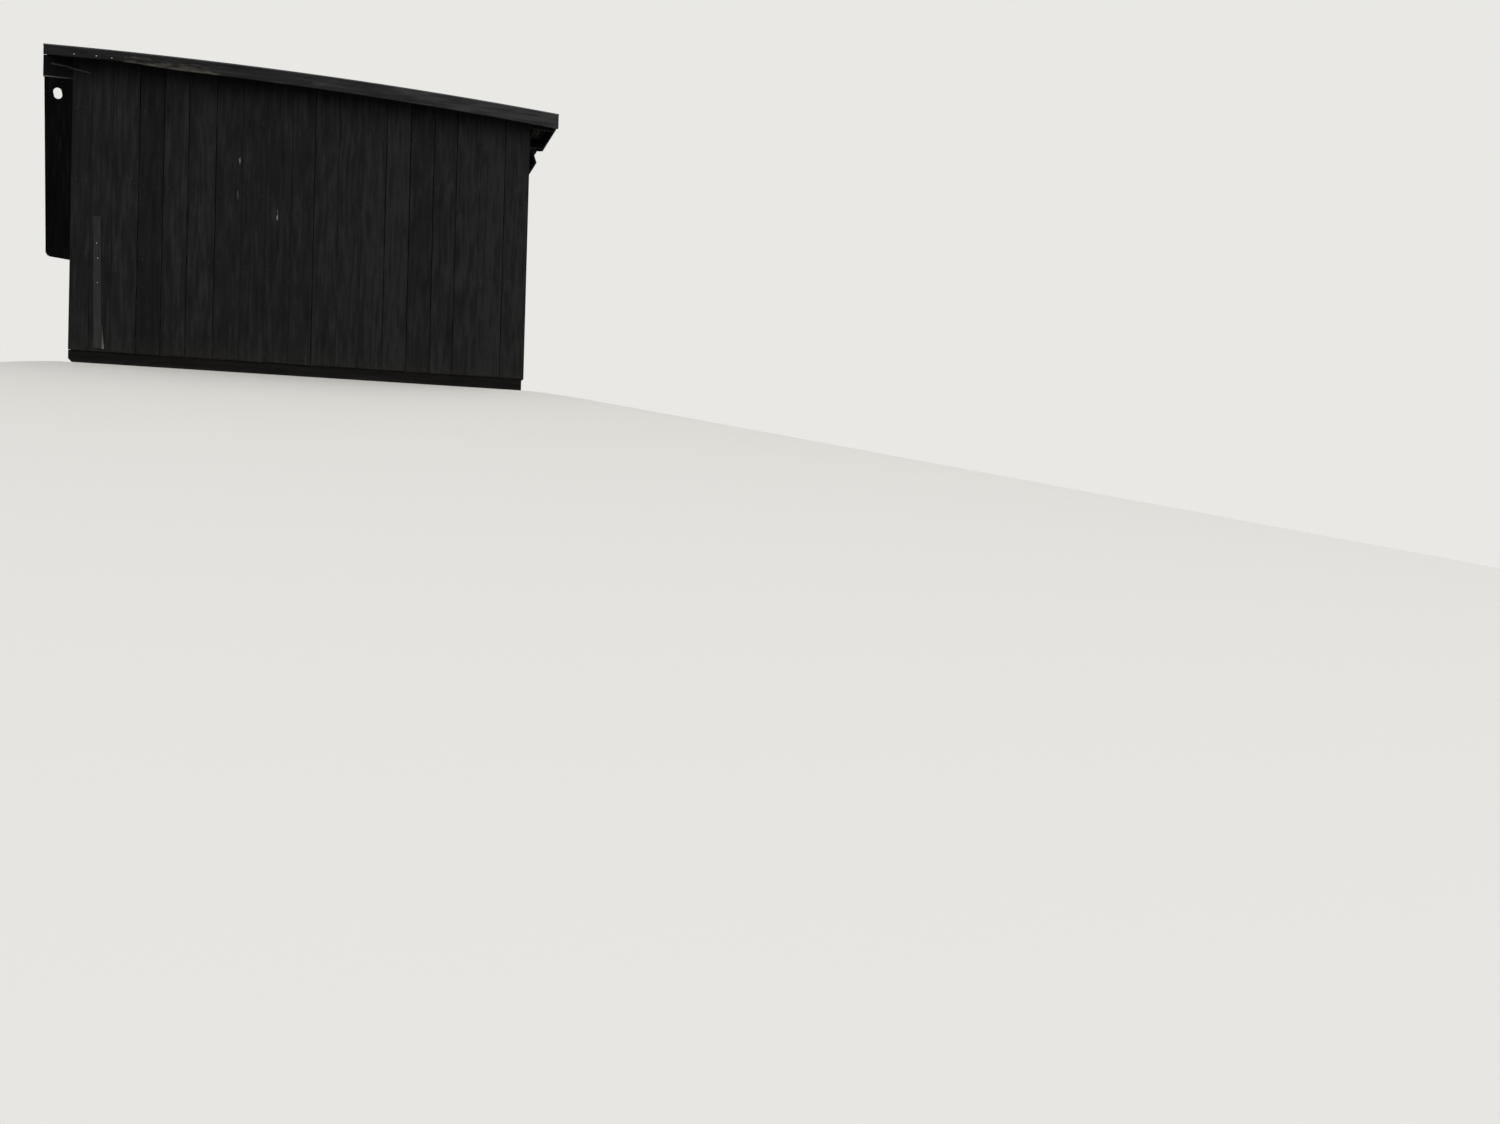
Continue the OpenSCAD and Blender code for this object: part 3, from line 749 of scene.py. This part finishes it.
def wing(node, seed):
    """Wing of two boards that meet where its taper starts. The upper one is flush with the wall, and has
    a painted highlight along its foot, drawn as bare wood and brighter towards the open front."""
    whole = solid(node)
    low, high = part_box(node)
    outward = 1 if low.y > 0 else -1
    joint = min(v.co.z for v in whole.verts if v.co.x < low.x + MERGE)
    face_y = max(abs(low.y), abs(high.y))
    head, body = whole.copy(), whole
    cut(head, Z, joint + MM, -1)
    cut(body, Z, joint - MM, 1)
    rings(head, Z, [joint + HIGHLIGHT_WIDTH])
    rings(head, X, spaced(low.x, high.x, 0.06))
    for vert in head.verts:
        if abs(vert.co.y) > face_y - MERGE:
            vert.co.y += outward * (SIDE - face_y)
    # The head board's paler tone is painted light in the shade under the barge
    for bm, tone in ((head, HEAD_PAINTED_LIGHT_TONE), (body, BODY_TONE)):
        mark(bm, random.Random(seed), tone)
        ease(bm, BOARD_ARRIS)
    # A painted highlight along the head board's foot, brightest at the open front
    wears = layer(head, "wear")
    for vert in head.verts:
        if vert.co.z < joint + HIGHLIGHT_WIDTH / 2:
            worn = 1 - HIGHLIGHT_FADE * (vert.co.x - low.x) / (high.x - low.x)
            vert[wears] = worn * (0.75 + 0.4 * noise.noise(Vector((vert.co.x * 25, seed, 0))))
    return piece(node + "_boards", joined([head, body]), [PAINT_WING], "wing_boards", node)


wing("wing_near", 41)
wing("wing_far", 42)


STRIP_LOW, STRIP_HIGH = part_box("cover_strip")

# How far the strip's edges wander, how far its foot has worn pale, and its rounded edges
STRIP_WANDER = 1.5 * MM
STRIP_WEAR = 0.03
STRIP_ARRIS = 2 * MM
# Pale splinter that has split off the strip's rear edge at its foot: its size, the share of its
# width that it loses to its tip, how far the tip leans over the strip, and how far it wanders
SPLINTER_WIDE = 24 * MM
SPLINTER_LONG = 260 * MM
SPLINTER_THICK = 8 * MM
SPLINTER_TAPER = 0.75
SPLINTER_LEAN = 5 * MM
SPLINTER_WANDER = 2 * MM
# How pale the splinter is at its tip, and how much paler at its foot
TIP_WEAR = 0.06
FOOT_WEAR = 0.5


def strip():
    """Strip on the near wall, with the splinter beside its foot."""
    bm = solid("cover_strip")
    rings(bm, Z, spaced(STRIP_LOW.z, STRIP_HIGH.z, LATH_RINGS))
    for vert in bm.verts:
        vert.co.x += STRIP_WANDER * noise.noise(Vector((vert.co.z * 9, vert.co.x * 20, 0)))
    wears = layer(bm, "wear")
    for vert in bm.verts:
        vert[wears] = STRIP_WEAR * (STRIP_HIGH.z - vert.co.z) / (STRIP_HIGH.z - STRIP_LOW.z)
    splinter = bmesh.new()
    bmesh.ops.create_cube(splinter, size=1.0)
    size = Vector((SPLINTER_WIDE, SPLINTER_THICK, SPLINTER_LONG))
    corner = Vector((STRIP_HIGH.x + MM, -SIDE - SPLINTER_THICK, STRIP_LOW.z))
    for vert in splinter.verts:
        vert.co = corner + (vert.co + Vector((0.5, 0.5, 0.5))) * size
    rings(splinter, Z, spaced(corner.z, corner.z + SPLINTER_LONG, LATH_RINGS))
    wears = layer(splinter, "wear")
    for vert in splinter.verts:
        share = (vert.co.z - corner.z) / SPLINTER_LONG
        width = (vert.co.x - corner.x) * (1 - SPLINTER_TAPER * share)
        vert.co.x = corner.x + width - SPLINTER_LEAN * share
        vert.co.x += SPLINTER_WANDER * noise.noise(Vector((vert.co.z * 14, 7, 0)))
        vert[wears] = TIP_WEAR + FOOT_WEAR * (1 - share) ** 2
    for part in (bm, splinter):
        mark(part, random.Random(51), tone=0.0)
        ease(part, STRIP_ARRIS)
    return piece("cover_strip_lath", joined([bm, splinter]), [STRIP_LATH], "bare_strip",
                 "cover_strip")


strip()

# Lath that ties the wing's head board to the wall: its middle line, as distance from the
# wall's front edge and height above the boards' feet
TIE_LINE = ((-0.215, 3.050), (-0.070, 3.035), (0.052, 3.008), (0.179, 2.990))
TIE_HIGH = 18 * MM
TIE_THICK = 7 * MM
TIE_ARRIS = 1.5 * MM


def tie_lath():
    """Thin lath that has sprung into a slight bend across the wing and the wall."""
    bm = bmesh.new()
    rows = []
    for along, up in TIE_LINE:
        corners = [bm.verts.new((FRONT + along, -SIDE - depth, BOARD_FOOT + up + rise))
                   for depth, rise in ((0, -TIE_HIGH / 2), (TIE_THICK, -TIE_HIGH / 2),
                                       (TIE_THICK, TIE_HIGH / 2), (0, TIE_HIGH / 2))]
        rows.append([bm.edges.new(pair) for pair in zip(corners, corners[1:] + corners[:1])])
    for first, second in zip(rows, rows[1:]):
        bmesh.ops.bridge_loops(bm, edges=first + second)
    for row in (rows[0], rows[-1]):
        bmesh.ops.contextual_create(bm, geom=row)
    bmesh.ops.recalc_face_normals(bm, faces=bm.faces)
    mark(bm, random.Random(53), tone=0.0)
    ease(bm, TIE_ARRIS)
    return piece("tie_lath", bm, [TIE_LATH], "bare_strip")


tie_lath()


def roof_sheet(index):
    """A ribbed sheet, smooth along its bow, with the faint swells of thin steel."""
    node = f"roof_sheet_{index}"
    bm = bmesh.new()
    bm.from_mesh(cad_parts[node].data)
    bmesh.ops.remove_doubles(bm, verts=bm.verts, dist=MERGE)
    mark(bm, random.Random(60 + index), tone=0.0)
    for vert in bm.verts:
        swell = noise.noise(Vector((vert.co.x * 1.1, vert.co.y * 2.3, 3.0)))
        vert.co.z += SWELL * max(0.0, swell)
    for face in bm.faces:
        face.smooth = True
        # Faces that look down take the primer, darkened as painted shade
        face.material_index = 1 if face.normal.z < 0 else 0
    for edge in bm.edges:
        edge.smooth = edge.calc_face_angle(0.0) < CRISP
    return piece(node + "_steel", bm, [ENAMEL, PRIMER_AND_SHADE], "roof_steel", node)


for index in range(1, SHEETS + 1):
    roof_sheet(index)


def purlin_lines():
    """Middle of each purlin's top, as (x, z)."""
    tops = {}
    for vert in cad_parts["purlins"].data.vertices:
        x = round(vert.co.x, 3)
        tops[x] = max(tops.get(x, -1.0), vert.co.z)
    xs = sorted(tops)
    return [((a + b) / 2, (tops[a] + tops[b]) / 2) for a, b in zip(xs[::2], xs[1::2])]


# Heads of the fixings, as radius at the foot, radius at the top, height and number of sides
WASHER_HEAD = (8 * MM, 7.5 * MM, 2 * MM, 12)
SCREW_HEAD = (5 * MM, 4.6 * MM, 4.5 * MM, 6)
PAINTED_HEAD = (5 * MM, 3.5 * MM, 1.6 * MM, 8)
BRIGHT_HEAD = (6 * MM, 4.5 * MM, 1.8 * MM, 10)


def fixing_head(bm, centre, direction, shape, index=0):
    """A round or many-sided head on a face that looks along direction."""
    radius, top_radius, height, sides = shape
    turn = Vector(direction).to_track_quat("Z", "Y").to_matrix().to_4x4()
    place = Matrix.Translation(Vector(centre)) @ turn @ Matrix.Translation((0, 0, height / 2))
    made = bmesh.ops.create_cone(bm, cap_ends=True, segments=sides, radius1=radius,
                                 radius2=top_radius, depth=height, matrix=place)
    for face in {f for v in made["verts"] for f in v.link_faces}:
        face.material_index = index


# How far a screw is out of line along the slope and along the purlin, in millimetres
SCREW_OFF_SLOPE = 8
SCREW_OFF_PURLIN = 4


def roof_screws():
    """Hexagon screws with washers, beside every rib on every purlin."""
    bm = bmesh.new()
    rng = random.Random(71)
    lines = purlin_lines()
    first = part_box("roof_sheet_1")[0].y + FIRST_RIB
    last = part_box("roof_sheet_8")[1].y
    for number, (x, z) in enumerate(lines):
        ahead = lines[min(number + 1, len(lines) - 1)]
        behind = lines[max(number - 1, 0)]
        normal = Vector((behind[1] - ahead[1], 0, ahead[0] - behind[0])).normalized()
        y = first + SCREW_FROM_RIB
        while y < last - SCREW_FROM_RIB / 2:
            off_x = rng.uniform(-SCREW_OFF_SLOPE, SCREW_OFF_SLOPE) * MM
            off_y = rng.uniform(-SCREW_OFF_PURLIN, SCREW_OFF_PURLIN) * MM
            place = Vector((x + off_x, y + off_y, z)) + normal * SHEET_THICK
            fixing_head(bm, place, normal, WASHER_HEAD, 1)
            fixing_head(bm, place + normal * WASHER_HEAD[2], normal, SCREW_HEAD, 0)
            y += RIB_STEP
    mark(bm, rng, tone=0.0)
    return piece("roof_screws", bm, [SCREW, WASHER], "roof_steel")


roof_screws()


def levels(node, axis):
    """Middles of a node's rails along axis."""
    stops = sorted({round(v.co[axis], 3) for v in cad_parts[node].data.vertices})
    return [(a + b) / 2 for a, b in zip(stops[::2], stops[1::2])]


# Distance of the wall nails from a board's edges, how far they are out of line, in
# millimetres, and how far their heads stand off the wall's plane
NAIL_INSET = 0.05
NAIL_OFF_ALONG = 9
NAIL_OFF_UP = 20
NAIL_PROUD = 0.2 * MM
# Height of the upper nails above the rear plate's foot, and of the front ones above the
# header's foot and below its top
PLATE_NAIL = 0.07
HEADER_LOW_NAIL = 0.04
HEADER_HIGH_NAIL = 0.05


def wall_nails():
    """Nail heads where the boards are fixed to the girts behind them."""
    bm = bmesh.new()
    rng = random.Random(81)
    header_low, header_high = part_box("header_front")
    side_rows = levels("girts_near", Z)
    rear_rows = levels("girts_rear", Z) + [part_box("plate_rear")[0].z + PLATE_NAIL]
    front_rows = [header_low.z + HEADER_LOW_NAIL, header_high.z - HEADER_HIGH_NAIL]
    walls = ((near_edges, side_rows, (0, -1, 0), SIDE), (far_edges, side_rows, (0, 1, 0), SIDE),
             (rear_edges, rear_rows, (1, 0, 0), REAR), (front_edges, front_rows, (-1, 0, 0), -FRONT))
    for edges, rows, outward, face in walls:
        for low, high in zip(edges, edges[1:]):
            for z in rows:
                for along in (low + NAIL_INSET, high - NAIL_INSET):
                    place = Vector(outward) * (face + NAIL_PROUD)
                    off_line = rng.uniform(-NAIL_OFF_ALONG, NAIL_OFF_ALONG) * MM
                    place[X if outward[Y] else Y] = along + off_line
                    place.z = z + rng.uniform(-NAIL_OFF_UP, NAIL_OFF_UP) * MM
                    fixing_head(bm, place, outward, PAINTED_HEAD)
    mark(bm, rng, tone=0.0)
    return piece("wall_nails", bm, [PAINTED_NAIL], "black_boards")


wall_nails()

# Bright nails that were never painted: on the near barge, as distance from the wall's front
# edge and height above the boards' feet, and up the pale strip, as height above its foot
BARGE_NAILS = ((0.035, 3.111), (0.254, 3.116), (0.408, 3.111))
STRIP_NAILS = (0.714, 0.978, 1.138)
# How far the nails are off the strip's middle, in millimetres
STRIP_NAIL_OFF = 8


def bright_nails():
    """The nails that were never painted, on the near barge and up the middle of the strip."""
    bm = bmesh.new()
    rng = random.Random(83)
    barge_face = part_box("barge_near")[0].y
    for along, up in BARGE_NAILS:
        place = (FRONT + along, barge_face, BOARD_FOOT + up)
        fixing_head(bm, place, (0, -1, 0), BRIGHT_HEAD)
    corners = [v.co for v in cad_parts["cover_strip"].data.vertices]
    foot = [co.x for co in corners if co.z < STRIP_LOW.z + 0.01]
    top = [co.x for co in corners if co.z > STRIP_HIGH.z - 0.01]
    for up in STRIP_NAILS:
        share = up / (STRIP_HIGH.z - STRIP_LOW.z)
        middle = (min(foot) + max(foot)) / 2 * (1 - share) + (min(top) + max(top)) / 2 * share
        off_line = rng.uniform(-STRIP_NAIL_OFF, STRIP_NAIL_OFF) * MM
        place = (middle + off_line, STRIP_LOW.y, STRIP_LOW.z + up)
        fixing_head(bm, place, (0, -1, 0), BRIGHT_HEAD)
    mark(bm, rng, tone=0.0)
    return piece("bright_nails", bm, [BRIGHT_NAIL], "bare_strip")


bright_nails()

# Stage: a pale mound that falls away on every side, because the picture is taken from below
# the building. Its top is level under the whole building. Then its fall for each metre, how
# softly that begins, its reach, its number of squares a side, and the share of that grid that
# is evenly spaced, while the rest is crowded round the building.
MOUND_FALL = 0.16
MOUND_EASE = 0.35
MOUND_REACH = 60.0
MOUND_SQUARES = 220
MOUND_EVEN = 0.1
# Distances from the building's middle over which the floor goes over into the backdrop
BLEND_FROM = 9.0
BLEND_TO = 26.0
BACKDROP = "e9e8e5"
# The sky's brightness at the horizon and overhead, and the height on a unit sky from which it
# counts as overhead
SKY_LOW = 0.45
SKY_HIGH = 0.7
SKY_TOP = 0.6
# The floor's colour as it is seen, and as it throws light back at the building
FLOOR_SEEN = "dddbd6"
FLOOR_BOUNCE = "8b8984"


def seen_ray(tree):
    """1 for a ray that shows the floor or backdrop itself, 0 for one that only lights."""
    path = add(tree, "LightPath").node
    camera_ray, glossy_ray = path.outputs["Is Camera Ray"], path.outputs["Is Glossy Ray"]
    direct = add(tree, "Math", (camera_ray, glossy_ray), operation="MAXIMUM")
    return add(tree, "Math", (direct, path.outputs["Is Transmission Ray"]), operation="MAXIMUM")


def mound():
    """The floor, with a finer grid near the building than far off."""
    bm = bmesh.new()
    bmesh.ops.create_grid(bm, x_segments=MOUND_SQUARES, y_segments=MOUND_SQUARES, size=1.0)
    rest = (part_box("skid_rear")[1].x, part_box("skid_far")[1].y)
    for vert in bm.verts:
        for axis in (X, Y):
            share = vert.co[axis]
            vert.co[axis] = MOUND_REACH * (MOUND_EVEN * share + (1 - MOUND_EVEN) * share ** 3)
        away = math.hypot(*[max(0.0, abs(vert.co[axis]) - rest[axis]) for axis in (X, Y)])
        vert.co.z = -MOUND_FALL * (math.hypot(away, MOUND_EASE) - MOUND_EASE)
    for face in bm.faces:
        face.smooth = True
    mesh = bpy.data.meshes.new("floor")
    bm.to_mesh(mesh)
    bm.free()
    floor = bpy.data.objects.new("floor", mesh)
    bpy.context.scene.collection.objects.link(floor)
    material, tree, shader = new_material("pale_floor")
    seen = seen_ray(tree)
    colour = add(tree, "Mix", {0: seen, 6: FLOOR_BOUNCE, 7: FLOOR_SEEN}, out=2, data_type="RGBA")
    tree.links.new(colour, shader.inputs["Base Color"])
    shader.inputs["Roughness"].default_value = 1.0
    shader.inputs["Specular IOR Level"].default_value = 0.0
    flat = add(tree, "VectorMath", (add(tree, "TexCoord", out="Object"), (1, 1, 0)), operation="MULTIPLY")
    away = add(tree, "VectorMath", (flat,), out="Value", operation="LENGTH")
    far = add(tree, "MapRange", (away, BLEND_FROM, BLEND_TO))
    share = add(tree, "Math", (far, seen), operation="MULTIPLY")
    glow = add(tree, "Emission", {"Color": BACKDROP, "Strength": 1.0})
    blend = add(tree, "MixShader", (share, shader.outputs[0], glow))
    tree.links.new(blend, tree.nodes["Material Output"].inputs["Surface"])
    mesh.materials.append(material)


def backdrop():
    """A soft white sky, brightest overhead, that lights the object. The camera sees the even
    backdrop instead."""
    world = bpy.data.worlds.new("studio")
    bpy.context.scene.world = world
    world.use_nodes = True
    tree = world.node_tree
    tree.nodes.clear()
    height = add(tree, "SeparateXYZ", (add(tree, "TexCoord", out="Generated"),), out=Z)
    level = add(tree, "MapRange", (height, 0.0, SKY_TOP, SKY_LOW, SKY_HIGH))
    light = add(tree, "Background", ("ffffff", level))
    shown = add(tree, "Background", (BACKDROP, 1.0))
    sky = add(tree, "MixShader", (seen_ray(tree), light, shown))
    add(tree, "OutputWorld", {"Surface": sky})


def lamp(name, strength, azimuth, elevation, spread):
    """A wide soft lamp far away. Azimuth 0 shines along +Y and 90 along -X."""
    data = bpy.data.lights.new(name, "SUN")
    data.energy = strength
    data.angle = math.radians(spread)
    obj = bpy.data.objects.new(name, data)
    a, e = math.radians(azimuth), math.radians(elevation)
    source = Vector((math.sin(a) * math.cos(e), -math.cos(a) * math.cos(e), math.sin(e)))
    obj.rotation_mode = "QUATERNION"
    obj.rotation_quaternion = source.to_track_quat("Z", "Y")
    bpy.context.scene.collection.objects.link(obj)


# Lamps: strength, azimuth, elevation and spread in degrees
KEY_LAMP = (1.4, -25, 20, 45)
FILL_LAMP = (0.8, 150, 45, 60)

# Camera: the photograph's own station, below and in front of the near wall. The lens is 1.7
# times as long as the photograph's, and turned toward the building by as little as that needs,
# so that the building keeps the shape it has in the photograph's upper left. Angles are in
# degrees, lens and sensor in millimetres.
CAMERA_PLACE = (-0.116, -26.148, -2.02)
CAMERA_YAW = 18.357
CAMERA_PITCH = -2.141
CAMERA_ROLL = 2.049
CAMERA_LENS = 46.62
CAMERA_SENSOR = 36.0
CAMERA_SIGHT = 500.0
CAMERA_SHIFT = (-0.12, 0.06)


def camera():
    """The camera at its station, looking along its own yaw, pitch and roll."""
    data = bpy.data.cameras.new("camera")
    data.sensor_fit = "HORIZONTAL"
    data.sensor_width = CAMERA_SENSOR
    data.lens = CAMERA_LENS
    data.shift_x, data.shift_y = CAMERA_SHIFT
    data.clip_end = CAMERA_SIGHT
    obj = bpy.data.objects.new("camera", data)
    yaw, pitch, roll = [math.radians(a) for a in (CAMERA_YAW, CAMERA_PITCH, CAMERA_ROLL)]
    ahead = Vector((math.sin(yaw) * math.cos(pitch), math.cos(yaw) * math.cos(pitch), math.sin(pitch)))
    level = Vector((math.cos(yaw), -math.sin(yaw), 0))
    above = level.cross(ahead)
    right = level * math.cos(roll) + above * math.sin(roll)
    up = above * math.cos(roll) - level * math.sin(roll)
    turn = Matrix((right, up, -ahead)).transposed().to_4x4()
    obj.matrix_world = Matrix.Translation(CAMERA_PLACE) @ turn
    bpy.context.scene.collection.objects.link(obj)
    bpy.context.scene.camera = obj


mound()
backdrop()
lamp("key", *KEY_LAMP)
lamp("fill", *FILL_LAMP)
camera()
bpy.context.scene.view_settings.view_transform = "Standard"
